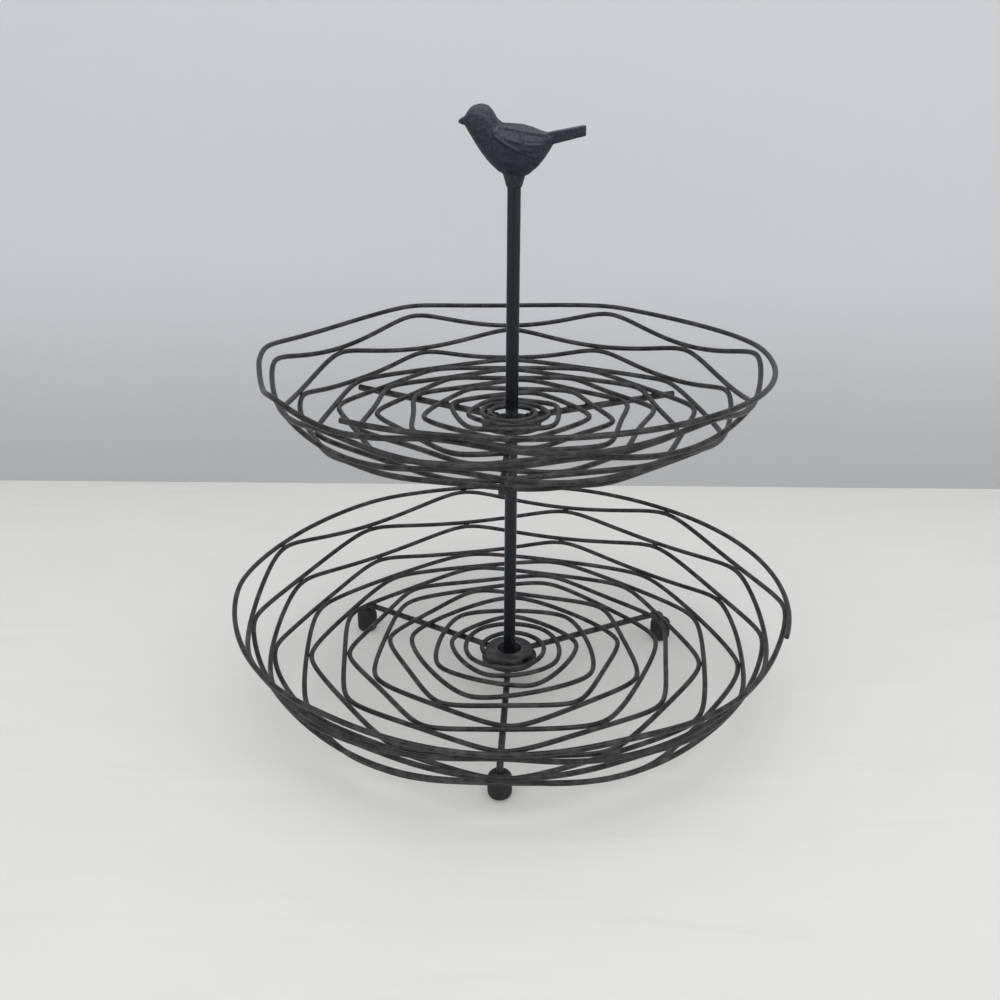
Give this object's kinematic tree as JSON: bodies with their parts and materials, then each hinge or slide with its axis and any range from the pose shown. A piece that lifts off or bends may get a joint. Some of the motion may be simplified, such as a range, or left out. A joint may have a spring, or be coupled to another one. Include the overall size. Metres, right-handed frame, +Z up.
{
  "type": "two-tier wire basket stand",
  "caption": "Tiered wire fruit basket: wavy spiral wire bowls on bent arms and hub plates, joined by a screwed post with a cast bird on top and rubber feet below.",
  "frame": {"origin": "on the table under the feet, on the post's axis", "axes": "+Z up along the post, +X to the right with the bird's tail, -Y to the front"},
  "size_m": [0.3004, 0.2976, 0.3115],
  "materials": {
    "wire": "satin powder coat",
    "frame": "satin powder coat",
    "post": "satin black",
    "bird": "matt, finely pebbled",
    "foot": "matt",
    "fastener": "plated"
  },
  "bodies": {
    "base": {"lower_basket_floor": "wire", "lower_basket_wall": "wire", "lower_hub_plate": "frame", "lower_post": "post", "post_washer": "frame", "base_washer": "fastener", "base_screw": "fastener", "lower_arm_front": "frame", "lower_arm_right": "frame", "lower_arm_left": "frame", "foot_front": "foot", "foot_right": "foot", "foot_left": "foot"},
    "upper_basket": {"upper_basket_floor": "wire", "upper_basket_wall": "wire", "upper_hub_plate": "frame", "upper_arm_front": "frame", "upper_arm_right": "frame", "upper_arm_left": "frame"},
    "upper_post": {"upper_post": "post", "joining_stud": "fastener", "finial_stud": "fastener"},
    "finial": {"bird_finial": "bird"}
  },
  "joints": [
    {"name": "upper_basket_turn", "type": "hinge", "parent": "base", "child": "upper_basket", "pos_m": [0, 0, 0.154], "axis": [0, 0, 1], "continuous": true},
    {"name": "upper_post_rise", "type": "slide", "parent": "base", "child": "upper_post", "axis": [0, 0, 1], "range_m": [0, 0.0122]},
    {"name": "finial_turn", "type": "hinge", "parent": "upper_post", "child": "finial", "pos_m": [0, 0, 0.274], "axis": [0, 0, 1], "range_deg": [0, 6120]}
  ],
  "couplings": [
    {"joint": "upper_post_rise", "follows": "finial_turn", "m_per_rad": 0.00011141}
  ]
}
